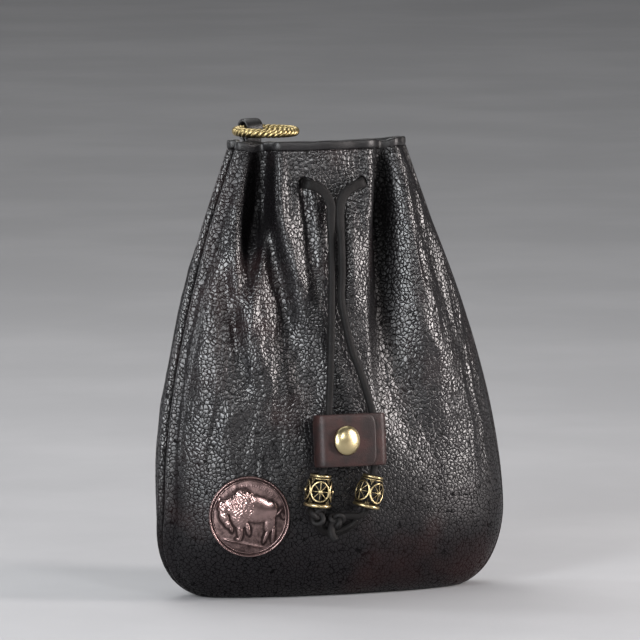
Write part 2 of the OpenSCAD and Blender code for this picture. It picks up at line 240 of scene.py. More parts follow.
# ---------------------------------------------------------------- materials
class Nodes:
    """A short way to write a node material."""

    def __init__(self, name):
        self.material = bpy.data.materials.new(name)
        self.material.use_nodes = True
        self.tree = self.material.node_tree
        self.shader = self.tree.nodes["Principled BSDF"]
        self.place = self.add("ShaderNodeTexCoord").outputs["Object"]

    def add(self, kind, **values):
        node = self.tree.nodes.new(kind)
        for key, value in values.items():
            setattr(node, key, value)
        return node

    def put(self, socket, value):
        if isinstance(value, bpy.types.NodeSocket):
            self.tree.links.new(value, socket)
        else:
            socket.default_value = value

    def math(self, operation, *values):
        node = self.add("ShaderNodeMath", operation=operation)
        for socket, value in zip(node.inputs, values):
            self.put(socket, value)
        return node.outputs[0]

    def noise(self, scale, detail=4.0, roughness=0.55, where=None):
        node = self.add("ShaderNodeTexNoise")
        self.put(node.inputs["Vector"], where or self.place)
        node.inputs["Scale"].default_value = scale
        node.inputs["Detail"].default_value = detail
        node.inputs["Roughness"].default_value = roughness
        return node.outputs["Fac"]

    def cells(self, scale, where=None, feature="F1", smooth=0.0, out="Distance"):
        node = self.add("ShaderNodeTexVoronoi", feature=feature)
        self.put(node.inputs["Vector"], where or self.place)
        node.inputs["Scale"].default_value = scale
        if feature == "SMOOTH_F1":
            node.inputs["Smoothness"].default_value = smooth
        return node.outputs[out]

    def bent(self, scale, amount):
        """The place, pushed about by noise, so that a pattern isn't regular."""
        node = self.add("ShaderNodeTexNoise")
        self.put(node.inputs["Vector"], self.place)
        node.inputs["Scale"].default_value = scale
        node.inputs["Detail"].default_value = 2.0
        push = self.add("ShaderNodeVectorMath", operation="MULTIPLY_ADD")
        self.put(push.inputs[0], node.outputs["Color"])
        push.inputs[1].default_value = (amount,) * 3
        self.put(push.inputs[2], self.place)
        return push.outputs[0]

    def ramp(self, value, low, high, to_low=0.0, to_high=1.0):
        node = self.add("ShaderNodeMapRange", interpolation_type="SMOOTHSTEP")
        for socket, v in zip(node.inputs, (value, low, high, to_low, to_high)):
            self.put(socket, v)
        return node.outputs[0]

    def mix(self, share, a, b):
        node = self.add("ShaderNodeMix", data_type="RGBA")
        self.put(node.inputs["Factor"], share)
        self.put(node.inputs["A"], a if isinstance(a, bpy.types.NodeSocket) else (*a, 1.0))
        self.put(node.inputs["B"], b if isinstance(b, bpy.types.NodeSocket) else (*b, 1.0))
        return node.outputs["Result"]

    def value(self, name):
        return self.add("ShaderNodeAttribute", attribute_name=name).outputs["Fac"]

    def bump(self, height, distance, strength=1.0, onto=None):
        node = self.add("ShaderNodeBump")
        node.inputs["Strength"].default_value = strength
        node.inputs["Distance"].default_value = distance
        self.put(node.inputs["Height"], height)
        if onto:
            self.put(node.inputs["Normal"], onto)
        return node.outputs[0]

    def done(self, colour, roughness, normal=None, metallic=0.0, **fixed):
        self.put(self.shader.inputs["Base Color"], colour if isinstance(colour, bpy.types.NodeSocket) else (*colour, 1.0))
        self.put(self.shader.inputs["Roughness"], roughness)
        self.put(self.shader.inputs["Metallic"], metallic)
        if normal:
            self.put(self.shader.inputs["Normal"], normal)
        for key, v in fixed.items():
            self.shader.inputs[key.replace("_", " ")].default_value = v
        return self.material


def pebbled_leather():
    """Full-grain black leather: nearly flat glossy pebbles of about a millimetre with thin matt cracks between, and
    painted shade darkening the fold valleys.
    """
    n = Nodes("pebbled_leather")
    where = n.bent(700, 0.0005)
    edge = n.cells(900, where, "DISTANCE_TO_EDGE")
    crack = n.ramp(edge, 0.0, 0.12)
    dome = n.ramp(edge, 0.0, 0.5)
    small = n.ramp(n.cells(2600, where, "DISTANCE_TO_EDGE"), 0.0, 0.3)
    height = n.math("ADD", n.math("MULTIPLY", crack, 0.5), n.math("MULTIPLY", dome, 0.8))
    height = n.math("ADD", height, n.math("MULTIPLY", small, 0.1))
    height = n.math("ADD", height, n.math("MULTIPLY", n.noise(3800, 3), 0.12))
    height = n.math("ADD", height, n.math("MULTIPLY", n.noise(420, 2), 0.5))
    height = n.math("MULTIPLY", height, n.ramp(n.value("smooth"), 0.0, 1.0, 1.0, 0.4))
    normal = n.bump(height, 0.00008)
    fold_shade = n.value("fold_shade")
    grain = n.mix(crack, (0.0008, 0.0007, 0.0009), (0.0045, 0.0038, 0.0046))
    patch = n.ramp(n.noise(38, 3), 0.5, 0.75)
    tint = n.mix(n.math("MULTIPLY", patch, 0.8), grain, (0.012, 0.0045, 0.0045))
    colour = n.mix(n.math("MULTIPLY", n.value("wear_and_sheen"), 0.25), tint, (0.013, 0.011, 0.012))
    # painted shade: the colour goes nearly black in the fold valleys, which are also made rougher and less shiny
    colour = n.mix(fold_shade, colour, (0.0006, 0.0005, 0.0006))
    gloss = n.math("ADD", n.ramp(crack, 0.0, 1.0, 0.6, 0.22), n.math("MULTIPLY", n.noise(160, 3), 0.12))
    gloss = n.math("ADD", gloss, n.math("MULTIPLY", n.math("ADD", fold_shade, n.value("smooth")), 0.14))
    dull = n.math("SUBTRACT", 1.0, n.math("MULTIPLY", n.value("smooth"), 0.7))
    shine = n.math("MULTIPLY", n.ramp(crack, 0.0, 1.0, 0.12, 0.62), n.math("MULTIPLY", n.ramp(fold_shade, 0.0, 1.0, 1.0, 0.1), dull))
    n.put(n.shader.inputs["Specular IOR Level"], shine)
    return n.done(colour, gloss, normal)


def flesh_side():
    """The suede inside of the leather."""
    n = Nodes("flesh_side")
    nap = n.noise(2200, 6, 0.7)
    colour = n.mix(n.ramp(nap, 0.3, 0.7), (0.035, 0.026, 0.022), (0.075, 0.058, 0.048))
    return n.done(colour, 0.95, n.bump(nap, 0.0002), Sheen_Weight=0.3)


def smooth_leather(name, colour, dark, gloss, grain=3000.0, shine=0.4):
    """Burnished leather with fine pores and faint creases, lighter in colour where its per-vertex value is high: real
    wear on raw edges, painted highlight along the laces' edges and the mouth binding's top.
    """
    n = Nodes(name)
    pores = n.cells(grain, n.bent(900, 0.0006), "F1")
    crease = n.noise(700, 6, 0.65)
    colour = n.mix(n.ramp(n.noise(220, 4), 0.35, 0.7), dark, colour)
    # lighter where the per-vertex value is high: real wear on the strap's and tab's raw edges, painted highlight on the
    # laces' and knots' edges and the binding's top
    colour = n.mix(n.math("MULTIPLY", n.value("wear_and_sheen"), 0.6), colour, tuple(min(1, 2.2 * c + 0.01) for c in dark))
    height = n.math("ADD", n.math("MULTIPLY", pores, 0.5), crease)
    rough = n.math("ADD", gloss, n.math("MULTIPLY", crease, 0.2))
    return n.done(colour, rough, n.bump(height, 0.00006), Specular_IOR_Level=shine)


def metal(name, bright, dark, gloss, scratch=0.00002, tint=None):
    """Antique metal: bright where it is rubbed, dark in the recesses."""
    n = Nodes(name)
    rub = n.math("ADD", n.value("wear_and_sheen"), n.math("MULTIPLY", n.math("SUBTRACT", n.noise(500, 5, 0.7), 0.5), 0.7))
    rub = n.ramp(rub, 0.25, 0.8)
    stain = n.noise(180, 4)
    colour = n.mix(rub, dark, n.mix(n.ramp(stain, 0.4, 0.7), bright, tint or tuple(0.75 * c for c in bright)))
    rough = n.math("ADD", n.ramp(rub, 0.0, 1.0, gloss + 0.3, gloss), n.math("MULTIPLY", n.noise(900, 4), 0.12))
    return n.done(colour, rough, n.bump(n.noise(1500, 6, 0.75), scratch), metallic=1.0)


BAG = pebbled_leather()
INSIDE = flesh_side()
EDGE = smooth_leather("edge_leather", (0.006, 0.0052, 0.006), (0.0025, 0.0022, 0.0025), 0.3)
LACE = smooth_leather("lace_leather", (0.006, 0.0052, 0.0052), (0.0025, 0.0022, 0.0022), 0.5, 2200.0, 0.16)
STRAP = smooth_leather("strap_leather", (0.027, 0.0085, 0.007), (0.0095, 0.0042, 0.004), 0.36, 2600.0, 0.32)
RIVET = metal("rivet_brass", (0.5, 0.42, 0.24), (0.17, 0.13, 0.07), 0.24)
BEAD = metal("bead_brass", (0.5, 0.4, 0.22), (0.018, 0.014, 0.009), 0.24)
COIN = metal("coin_copper", (0.3, 0.205, 0.195), (0.022, 0.0145, 0.0145), 0.17, 0.000012, tint=(0.2, 0.14, 0.135))
RING = metal("ring_brass", (0.36, 0.28, 0.13), (0.04, 0.03, 0.015), 0.3)


# ---------------------------------------------------------------- the bag
def rise(z):
    f = np.maximum(0, (z - BELLY_Z) / (BAG_H - BELLY_Z))
    return 1.57 * f**2 - 0.57 * f**3


def round_in(z):
    return np.sqrt(np.clip(1 - (1 - z / BELLY_Z) ** 2, 0, 1))


def half_w(z):
    low = BASE_W / 2 + (BAG_W - BASE_W) / 2 * round_in(z)
    return np.where(z < BELLY_Z, low, BAG_W / 2 - (BAG_W - NECK_W) / 2 * rise(z))


def half_d(z):
    low = BASE_D / 2 + (BAG_D - BASE_D) / 2 * round_in(z)
    return np.where(z < BELLY_Z, low, BAG_D / 2 - (BAG_D - NECK_D) / 2 * rise(z))


def mid_x(z):
    return -LEAN * np.clip((z - 20) / 80, 0, 1) ** 1.2


# Folds of a panel: sharpness, then (level, x, depth, half-width) down the fold; a negative depth is a crest
FRONT_FOLDS = {
    "left_valley": (3, [(123, -21.9, 3, 2.9), (119, -22.2, 4.4, 3.2), (113, -22.8, 6, 3.5), (106, -24, 7, 3.5),
                        (98, -25.6, 6, 3.1), (91, -27, 3.6, 2.5), (84, -28.2, 1.2, 2), (77, -29.5, 0, 1.8)]),
    "left_gather": (2, [(113, -21, 0, 1.6), (106, -20.9, 1.2, 1.8), (99, -20.7, 2.6, 2.2), (91, -20, 3.1, 2.7),
                        (78.5, -18.2, 3.1, 3.6), (66, -16, 2.4, 5), (54, -12.5, 1.4, 6.5), (42, -10, 0, 7)]),
    "left_crest": (2, [(123, -18.4, -0.7, 2.1), (112, -18.8, -1.7, 2.2), (102, -18.1, -2.1, 2.3), (93, -16.4, -2, 2.6),
                       (84, -14.2, -1.5, 3.2), (74, -11, -0.7, 4.2), (64, -9, 0, 5)]),
    "under_hole": (2, [(114, -11.5, 0, 1.2), (109, -11.4, 1.4, 1.3), (99, -10.6, 1.5, 1.6), (88, -9.6, 1, 2.2), (74, -8.4, 0, 3)]),
    "lace_hollow": (2, [(116, -3.6, 0, 4), (108, -3.7, 1.1, 4), (98, -4, 0.9, 3), (86, -4.4, 0.5, 2.5), (72, -5, 0, 3)]),
    "lace_ridge": (2, [(108, 1.4, 0, 2.5), (101, 1.3, -1, 2.6), (90, 0.6, -1.7, 3), (74, 0.8, -1.7, 3.6), (58, 1.9, -0.8, 5),
                       (46, 3, 0, 5)]),
    "right_crest": (2, [(123, 7.2, -0.5, 2), (113, 6.9, -1.3, 2.1), (104, 6.2, -1.3, 2.2), (95, 5, -0.6, 2.4), (87, 4, 0, 2.4)]),
    "right_valley": (2.6, [(123, 13.3, 2.4, 2.4), (118.5, 13.4, 4.2, 2.8), (113, 13.4, 6, 3.3), (104, 13, 7.2, 3.7),
                           (93, 12.4, 6.6, 4.1), (79, 11.8, 5.2, 4.8), (66, 12.2, 3.6, 5.8), (52, 14.2, 2, 7.2),
                           (41, 17.5, 0.6, 8), (33, 18, 0, 8)]),
    "right_lobe": (2, [(118, 18.6, 0, 2.4), (106, 18.4, -1.1, 2.8), (92, 19.6, -2, 4), (78, 22.5, -2.7, 6), (64, 25.5, -2.3, 7.5),
                       (52, 27.5, -1.2, 9), (38, 28, 0, 9)]),
    "right_flank": (2, [(112, 22, 0, 4), (98, 28, -1, 5), (85, 33, -1.2, 6), (70, 39, -0.8, 8), (54, 42, -0.3, 9), (40, 44, 0, 9)]),
    "left_ridge": (2, [(101, -29.4, 0, 2), (93, -29.6, -1, 2.4), (80, -28, -1.5, 3), (66, -26, -1.2, 3.6), (54, -24, 0, 4)]),
    "left_crease": (2, [(92, -33.4, 0, 1.6), (84, -33, 0.9, 2), (70, -31.4, 1.1, 2.3), (58, -30, 0.5, 3), (48, -29, 0, 3)]),
    "left_flank": (2, [(96, -34, 0, 4), (80, -37.5, -1.3, 5), (62, -38, -1.5, 6.5), (46, -36, -0.7, 8), (34, -35, 0, 8)]),
}
BACK_FOLDS = {
    "left_valley": (2, [(123, -10.6, 1.2, 2.4), (113, -11, 3.2, 2.6), (100, -12.2, 3, 3.2), (86, -14.5, 1.6, 4.4),
                        (70, -17, 0.6, 6), (56, -19, 0, 7)]),
    "middle_crest": (2, [(123, -3, -0.4, 3), (108, -3, -1, 3.6), (88, -3.4, -0.8, 5), (66, -4, 0, 8)]),
    "right_valley": (2, [(123, 6, 1.4, 2.5), (113, 6.4, 3.6, 2.8), (100, 7.6, 3.6, 3.4), (86, 10, 2.2, 4.6),
                         (70, 13, 1, 6.5), (50, 17, 0, 8)]),
}
DENSE = {side: [(power, curve_through(f, 12)[::-1]) for power, f in folds.values()]
         for side, folds in ((-1, FRONT_FOLDS), (1, BACK_FOLDS))}
LATTICE = np.random.default_rng(11).uniform(-1, 1, (6, 96, 96))


def fold_depth(x, z, side):
    """How far the folds push the leather towards the inside."""
    out = np.zeros_like(x)
    for power, line in DENSE[side]:
        at, depth, wide = (np.interp(z, line[:, 0], line[:, k]) for k in (1, 2, 3))
        out += depth * np.exp(-np.abs((x - at) / wide) ** power)
    return out


def smooth_noise(u, v, layer):
    """Smooth noise from -1 to 1."""
    grid = LATTICE[layer]
    i, j = np.floor(u).astype(int), np.floor(v).astype(int)
    fu, fv = u - i, v - j
    fu, fv = fu * fu * (3 - 2 * fu), fv * fv * (3 - 2 * fv)
    a, b = grid[i % 96, j % 96], grid[(i + 1) % 96, j % 96]
    c, d = grid[i % 96, (j + 1) % 96], grid[(i + 1) % 96, (j + 1) % 96]
    return (a * (1 - fu) + b * fu) * (1 - fv) + (c * (1 - fu) + d * fu) * fv


def wrinkles(x, z, side):
    """Fine drapery between the folds: streaks that run down and fan out, strongest on the two lobes."""
    spread = x - mid_x(z)
    fan = spread * (1 - 0.3 * np.clip((z - 30) / 90, 0, 1)) ** -1
    drift = 1.2 * smooth_noise(fan / 9 + 40, z / 11 + 40, 0)
    streak = 1 - 2 * np.abs(smooth_noise((fan + drift) / 3.4 + 40, z / 15 + 40, 1))
    small = 1 - 2 * np.abs(smooth_noise((fan + drift) / 1.9 + 20, z / 6.5 + 20, 2))
    broad = smooth_noise(fan / 12 + 30, z / 22 + 30, 3)
    lobes = np.exp(-(((fan + 30) / 14) ** 2)) + 0.7 * np.exp(-(((fan - 32) / 13) ** 2)) + 0.35
    level = np.clip((z - 22) / 26, 0, 1) * np.clip((119 - z) / 14, 0.15, 1)
    return side * 0 - (0.3 * streak + 0.12 * small) * lobes * level + 0.5 * broad * np.clip(z / 14, 0, 1)


def seam_roll(arc):
    """The leather's turned edge at the seam: it rounds in to the seam behind a lip, with a dip after the lip."""
    inside = np.clip(1 - arc / 1.2, 0, 1)
    lip = -0.5 * np.exp(-(((arc - 1.4) / 0.8) ** 2))
    return 1.5 * (1 - np.sqrt(1 - inside**2)) + lip + 0.5 * np.exp(-(((arc - 3.6) / 1.2) ** 2))


BACK_SAG = 1.7


def seam_turn(z):
    """How far round to the front the left seam lies, as an angle."""
    up = np.clip((z - 3) / 25, 0, 1)
    return 0.165 * up * up * (3 - 2 * up)


def panel_points(angle, z, scale, side, inset):
    """Points of a panel's skin. angle 0 is the left seam and pi the right one; scale below 1 is the flat underside."""
    turn = -side * seam_turn(z)
    a = turn + angle * (1 - turn / np.pi)
    s, c = np.sin(a), np.cos(a)
    width, depth = half_w(z) - inset, half_d(z) - inset
    x, y = mid_x(z) - width * c, depth * s * scale
    out_x, out_y = -depth * c, width * s
    size = np.hypot(out_x, out_y)
    arc = depth * np.sin(angle)
    away = np.clip(arc / 5, 0, 1) ** 1.5
    push = (fold_depth(x, z, side) + wrinkles(x, z, side)) * away * np.clip(z / 8, 0, 1)
    if side < 0:  # behind the slider's travel no crest stands out
        travel = np.exp(-(((x + 3) / 12.5) ** 6)) * np.clip((86 - z) / 10, 0, 1) * np.clip((z - 30) / 5, 0, 1)
        push += travel * np.maximum(0, -0.05 - push)
    push += seam_roll(arc) * np.clip(z / 5, 0, 1)
    x, y = x - out_x / size * push, y - out_y / size * push
    y = side * np.maximum(SEAM_Y + y, 0.25 - depth * np.abs(np.sin(turn)))
    sag = BACK_SAG * s * np.clip((z - 108) / 12, 0, 1) ** 2 if side > 0 else 0
    return np.stack([x, y, np.maximum(z, inset) + 0 * x - sag], axis=-1)


def lining_points(skin, angle, z, scale, side):
    """The inside of a panel: one leather thickness in from the skin, along the skin's own normals where it is folded."""
    plain = panel_points(angle, z, scale, side, LEATHER)
    normal = np.cross(np.gradient(skin, axis=1), np.gradient(skin, axis=0)) * -side
    normal /= np.maximum(np.linalg.norm(normal, axis=2), 1e-9)[..., None]
    share = np.clip((half_d(z) * np.sin(angle) - 3) / 3, 0, 1) * np.clip((z - 10) / 12, 0, 1)
    share = (share * scale)[..., None]
    return plain * (1 - share) + (skin + LEATHER * normal) * share


def panel(side, name, replaced):
    """One leather panel: a skin and a lining with closed edges."""
    t = np.linspace(0, 1, 331)
    angle = np.pi * (t - 0.55 * np.sin(2 * np.pi * t) / (2 * np.pi))
    wall = np.linspace(TOP_Z, BELLY_Z, 200)
    corner = BELLY_Z * (1 - np.sin(np.linspace(0, np.pi / 2, 50)[1:]))
    z = np.concatenate([wall, corner, np.zeros(8)])
    scale = np.concatenate([np.ones(len(wall) + len(corner)), np.linspace(1, 0, 9)[1:]])
    a, zz = np.meshgrid(angle, z)
    ss = np.repeat(scale[:, None], len(angle), axis=1)
    skin = panel_points(a, zz, ss, side, 0.0)
    lining = lining_points(skin, a, zz, ss, side)
    rows, cols = zz.shape
    count = rows * cols
    faces = [grid_faces(rows, cols, flip=side > 0), grid_faces(rows, cols, flip=side < 0, start=count)]
    edge = np.concatenate([np.arange(cols), np.arange(1, rows) * cols + cols - 1,
                           (rows - 1) * cols + np.arange(cols - 2, -1, -1), np.arange(rows - 2, 0, -1) * cols])
    after = np.roll(edge, -1)
    rim = np.stack([edge, edge + count, after + count, after], axis=1)
    faces.append(rim if side < 0 else rim[:, ::-1])
    made = make(name, np.vstack([skin.reshape(-1, 3), lining.reshape(-1, 3)]), np.vstack(faces), "bag",
                [BAG, INSIDE], replaced)
    inner = len(faces[0])
    made.data.polygons.foreach_set("material_index", [0] * inner + [1] * inner + [0] * len(rim))
    crest = np.clip(-fold_depth(skin[..., 0], zz, side) / 3, 0, 1)
    near_seam = np.exp(-(((half_d(zz) * np.sin(a) - 1.4) / 1.2) ** 2))
    smooth = np.exp(-(((half_d(zz) * np.sin(a) - 3.4) / 1.2) ** 2)) * 0.6 + np.clip((42 - zz) / 28, 0, 1) * 0.95
    attribute(made, "wear_and_sheen", np.tile(np.clip(crest + near_seam, 0, 1).ravel(), 2))
    attribute(made, "smooth", np.tile(np.clip(smooth, 0, 1).ravel(), 2))
    # painted shade: the deeper a fold valley, the more the material darkens its colour; the back panel gets less
    fold_shade_share = np.clip((fold_depth(skin[..., 0], zz, side) - 2) / 2.6, 0, 1) * (0.85 if side < 0 else 0.4)
    attribute(made, "fold_shade", np.tile(fold_shade_share.ravel(), 2))
    return made


def punch(piece, at, z):
    """Punches a lace hole through a panel."""
    pts, faces = lathe([(0, -6), (1.15, -6), (1.15, 6), (0, 6)], 24)
    pts = placed(pts * (1, 1.45, 1), (at, -11.5, z), [("X", 90)])
    mesh = bpy.data.meshes.new("punch")
    mesh.from_pydata((pts * MM).tolist(), [], faces)
    tool = bpy.data.objects.new("punch", mesh)
    bpy.context.scene.collection.objects.link(tool)
    cut = piece.modifiers.new("hole", "BOOLEAN")
    cut.operation, cut.solver, cut.object = "DIFFERENCE", "EXACT", tool
    bpy.context.view_layer.objects.active = piece
    bpy.ops.object.modifier_apply(modifier=cut.name)
    bpy.data.objects.remove(tool)


def mouth_line(inset):
    """The closed line of the mouth's edge, front from left to right and then back."""
    t = np.linspace(0, 1, 141)
    a = np.pi * t
    z = np.full_like(a, TOP_Z)
    front = panel_points(a, z, np.ones_like(a), -1, inset)
    back = panel_points(a[::-1], z, np.ones_like(a), 1, inset)
    return np.vstack([front, back])


def mouth_binding():
    """The band bound over the mouth's edge: a rounded strip with a thin groove under it."""
    line = (mouth_line(0.0) + mouth_line(LEATHER)) / 2
    keep = [0] + [i for i in range(1, len(line)) if np.linalg.norm(line[i] - line[i - 1]) > 0.15]
    line = line[keep]
    for _ in range(3):
        line = (np.roll(line, 1, 0) + 2 * line + np.roll(line, -1, 0)) / 4
    dipped = fold_depth(line[:, 0], line[:, 2], -1) * (line[:, 1] < 0)
    line[:, 2] += BIND_H / 2 - 0.25 * np.clip(dipped, 0, 3) + 0.16 * smooth_noise(line[:, 0] / 5 + 9, line[:, 1] / 5 + 9, 4)
    a = np.linspace(0, 2 * np.pi, 21)[:-1]
    half_t, half_h = LEATHER / 2 + 0.06, BIND_H / 2 + 0.1
    power = 2 / 3.2
    profile = np.stack([np.sign(np.cos(a)) * np.abs(np.cos(a)) ** power * half_t,
                        np.sign(np.sin(a)) * np.abs(np.sin(a)) ** power * half_h], 1)
    pts, faces = sweep(line, profile, closed=True)
    band = make("mouth_binding", pts, faces, "bag", EDGE, ["rim_binding"])
    # painted highlight: lighter colour along the top of the band
    attribute(band, "wear_and_sheen", np.tile(np.clip(np.sin(a), 0, 1) ** 3, len(line)))
    return band


def seam_strip():
    """The welt in the seam, deep in the groove between the two turned edges."""
    wall = np.concatenate([np.linspace(TOP_Z, BELLY_Z, 60), BELLY_Z * (1 - np.sin(np.linspace(0, np.pi / 2, 24)[1:]))])
    inset = 0.9
    turn, low = seam_turn(wall), np.maximum(wall, 0.25)
    left = np.stack([mid_x(wall) - half_w(wall) * np.cos(turn) + inset, -half_d(wall) * np.sin(turn) + 1.6 * turn, low], 1)
    right = np.stack([mid_x(wall) + half_w(wall) - inset, 0 * wall, low], 1)[::-1]
    path = np.vstack([left, right])
    inner = path + 0.0
    lift = np.where(path[:, 2] < BELLY_Z, 4 * (1 - path[:, 2] / BELLY_Z), 0)
    inner[:, 2] += lift
    inner[:, 0] += np.where(np.arange(len(path)) < len(left), 2.8, -2.8)
    half = SEAM_Y - 0.02
    rows = []
    for outer_p, inner_p in zip(path, inner):
        rows += [outer_p + (0, -half, 0), outer_p + (0, half, 0), inner_p + (0, half, 0), inner_p + (0, -half, 0)]
    faces = [list(f)[::-1] for f in grid_faces(len(path), 4, closed=True)]
    last = (len(path) - 1) * 4
    faces += [[0, 1, 2, 3], [last + 3, last + 2, last + 1, last]]
    strip = make("seam_strip", rows, faces, "bag", EDGE, ["seam_welt"], smooth=False)
    attribute(strip, "wear_and_sheen", np.zeros(len(rows)))
    return strip


# ---------------------------------------------------------------- laces and knots
def lace(name, route, end_cut=True):
    """A flat leather lace along a route."""
    line = curve_through(route, 7)
    wide = 1 + 0.25 * np.exp(-(((line[:, 2] - 110) / 7) ** 2)) - 0.14 * (line[:, 2] < 100)
    flat = round_profile(LACE_W, LACE_T, 14, 3.0)
    pts, faces = follow(line, [flat * (w, 2 - w) for w in wide])
    made = make(name, pts, faces, "bag", LACE, ["drawcord"])
    a = np.arange(14) * 2 * np.pi / 14
    # painted highlight: lighter colour along the lace's two narrow edges
    attribute(made, "wear_and_sheen", np.tile(np.abs(np.cos(a)) ** 6, len(line)))
    return made, line * MM


def knot(name, at, size, turns, node):
    """An overhand knot: the lace crosses itself three times."""
    t = np.linspace(0, 2 * np.pi, 90)[:-1]
    line = np.stack([np.sin(t) + 2 * np.sin(2 * t), np.cos(t) - 2 * np.cos(2 * t), -1.25 * np.sin(3 * t)], 1) * size
    k = 12
    ahead = np.roll(line, -1, 0) - np.roll(line, 1, 0)
    ahead /= np.linalg.norm(ahead, axis=1)[:, None]
    out = line * (1, 1, 0.2)
    side = np.cross(ahead, out / np.linalg.norm(out, axis=1)[:, None])
    side /= np.linalg.norm(side, axis=1)[:, None]
    normal = np.cross(side, ahead)
    profile = round_profile(1.8, 1.5, k, 2.4)
    pts = (line[:, None] + profile[None, :, :1] * side[:, None] + profile[None, :, 1:] * normal[:, None]).reshape(-1, 3)
    faces = [list(f) for f in grid_faces(len(line) + 1, k, closed=True) % (len(line) * k)]
    made = make(name, placed(pts, at, turns), faces, "bag", LACE, [node])
    # painted highlight: lighter colour along the knot's lace edges
    attribute(made, "wear_and_sheen", np.tile(np.abs(np.cos(np.arange(k) * 2 * np.pi / k)) ** 4, len(line)))
    return made


# ---------------------------------------------------------------- slider
STRAP_T, CHANNEL, SLIDER_W, SLIDER_H, FLAP_END = 1.1, 2.9, 19.6, 14.0, 6.3


def strap_line():
    """The strap's middle line, seen from above: inner layer, right fold, back layer, left fold, outer flap."""
    half = SLIDER_W / 2 - 0.2
    back, front = -STRAP_T / 2, -STRAP_T * 1.5 - CHANNEL
    outer = front - STRAP_T
    fold_r = (back - front) / 2
    fold_l = (back - outer) / 2
    a = np.linspace(-np.pi / 2, np.pi / 2, 15)
    right = np.stack([half - fold_r + STRAP_T / 2 + fold_r * 0.8 * np.cos(a), (back + front) / 2 + fold_r * np.sin(a)], 1)
    left = np.stack([-half + fold_l - STRAP_T / 2 - fold_l * 0.8 * np.cos(a[::-1]), (back + outer) / 2 + fold_l * np.sin(a[::-1])], 1)
    start = np.stack([np.linspace(-6, right[0, 0], 14)[:-1], np.full(13, front)], 1)
    behind = np.stack([np.linspace(right[-1, 0], left[0, 0], 16)[1:-1], np.full(14, back)], 1)
    end_x = FLAP_END
    flap = np.stack([np.linspace(left[-1, 0], end_x, 40)[1:], np.full(39, outer)], 1)
    return np.vstack([start, right, behind, left, flap])


def strap_piece(line, half_h, corner, thick, rows=18):
    """A flat strap whose thickness follows a line in a plane; its last end has round corners."""
    ahead = np.gradient(line, axis=0)
    ahead /= np.linalg.norm(ahead, axis=1)[:, None]
    normal = np.stack([ahead[:, 1], -ahead[:, 0]], 1)
    to_end = np.linalg.norm(line[-1] - line, axis=1)
    to_end[: len(line) // 2] = 99
    cut = np.clip(corner - to_end, 0, corner)
    height = half_h - corner + np.sqrt(corner**2 - cut**2)
    a = np.linspace(0, 2 * np.pi, 2 * rows + 1)[:-1]
    across = np.sign(np.cos(a)) * np.abs(np.cos(a)) ** 0.35
    through = np.sign(np.sin(a)) * np.abs(np.sin(a)) ** 0.5
    pts = []
    for p, n, h in zip(line, normal, height):
        for u, w in zip(across, through):
            q = p + n * w * thick / 2 * (1 - 0.12 * abs(u) ** 8)
            pts.append((q[0], q[1], u * h))
    k = len(a)
    faces = [list(f) for f in grid_faces(len(line), k, closed=True)]
    faces += [list(range(k))[::-1], [(len(line) - 1) * k + i for i in range(k)]]
    return np.array(pts), faces, np.abs(across) ** 12


def slider():
    line = strap_line()
    pts, faces, edge = strap_piece(line, SLIDER_H / 2, 2.4, STRAP_T)
    tail = np.clip(1 - np.linalg.norm(line[-1] - line, axis=1) / 0.8, 0, 1)
    tail[: len(line) // 2] = 0
    wear_and_sheen = np.clip(np.tile(edge, len(line)) * 0.7 + np.repeat(tail, len(edge)), 0, 1)
    piece = make("slider_leather", placed(pts, SLIDER_AT, [("X", -SLIDER_TILT)]), faces, "slider", STRAP,
                 ["slider_strap"])
    attribute(piece, "wear_and_sheen", wear_and_sheen)
    face_y = -(3 * STRAP_T + CHANNEL)
    dome = [(0, 1.32), (1.0, 1.27), (2.0, 1.1), (2.8, 0.84), (3.4, 0.52), (3.75, 0.22), (3.95, 0.0), (4.0, -0.25),
            (3.9, -0.55), (3.6, -0.75), (0, -0.75)]
    pts, faces = lathe(dome[::-1], 72)
    pts = placed(placed(pts, (-RIVET_OFF, face_y - 0.25, 0), [("X", 90), ("Z", 11)]), SLIDER_AT, [("X", -SLIDER_TILT)])
    cap = make("slider_rivet_dome", pts, faces, "slider", RIVET, ["slider_rivet_cap"])
    attribute(cap, "wear_and_sheen", np.full(len(pts), 0.8))
    return piece, cap


# ---------------------------------------------------------------- beads
def barrel(angle, h, lift=0.0):
    """A point of the bead's barrel skin: angle round it, height along it."""
    r = 2.95 + 0.5 * np.cos(np.clip(h / 3.6, -1, 1) * np.pi / 2) - 0.07 * h + lift
    return np.stack([r * np.cos(angle), r * np.sin(angle), h + 0 * angle], -1)


def wire(line, radius, closed=False, count=8):
    """A round wire along a line."""
    line = np.asarray(line, float)
    ahead = np.roll(line, -1, 0) - np.roll(line, 1, 0)
    if not closed:
        ahead[0], ahead[-1] = line[1] - line[0], line[-1] - line[-2]
    ahead /= np.linalg.norm(ahead, axis=1)[:, None]
    out = line * (1, 1, 0) + (1e-6, 0, 0)
    out /= np.linalg.norm(out, axis=1)[:, None]
    side = np.cross(ahead, out)
    side /= np.linalg.norm(side, axis=1)[:, None]
    out = np.cross(side, ahead)
    a = np.arange(count) * 2 * np.pi / count
    pts = line[:, None] + radius * (np.cos(a)[None, :, None] * side[:, None] + np.sin(a)[None, :, None] * out[:, None])
    n = len(line)
    if closed:
        return pts.reshape(-1, 3), [list(f) for f in grid_faces(n + 1, count, closed=True) % (n * count)]
    faces = [list(f) for f in grid_faces(n, count, closed=True)]
    faces += [list(range(count))[::-1], [(n - 1) * count + i for i in range(count)]]
    return pts.reshape(-1, 3), faces


def torus(radius, tube, height, count=56, around=12):
    t = np.arange(count) * 2 * np.pi / count
    return wire(np.stack([radius * np.cos(t), radius * np.sin(t), np.full(count, height)], 1), tube, True, around)


